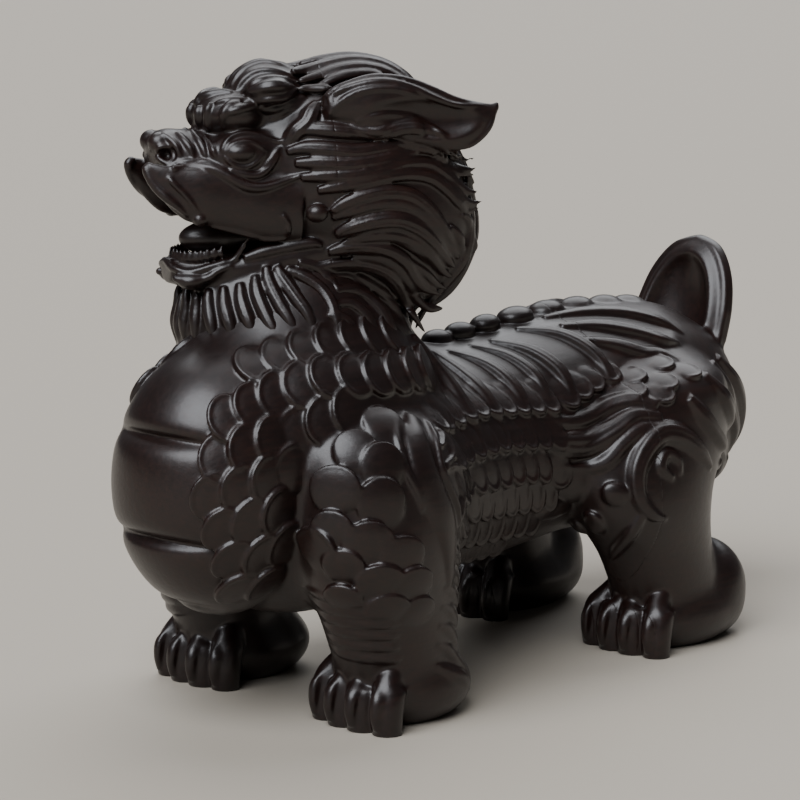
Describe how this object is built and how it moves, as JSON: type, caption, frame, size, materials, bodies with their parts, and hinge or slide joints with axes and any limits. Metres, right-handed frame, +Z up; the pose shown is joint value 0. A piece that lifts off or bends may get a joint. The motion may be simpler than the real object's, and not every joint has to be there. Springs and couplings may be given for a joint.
{
  "type": "wood carving",
  "caption": "Standing guardian beast carved from dark wood, head turned aside, with swept mane, banded chest, scaled hide, clawed feet and an upright scooped tail.",
  "frame": {"origin": "middle of the length and the width, on the surface the feet stand on", "axes": "the beast faces -Y, its left flank is +X, and +Z is up"},
  "size_m": [0.0918, 0.2058, 0.1525],
  "materials": {
    "carving": "near-black brown hardwood with a satin lacquer"
  },
  "bodies": {
    "root": {"carving": "carving"}
  },
  "joints": []
}
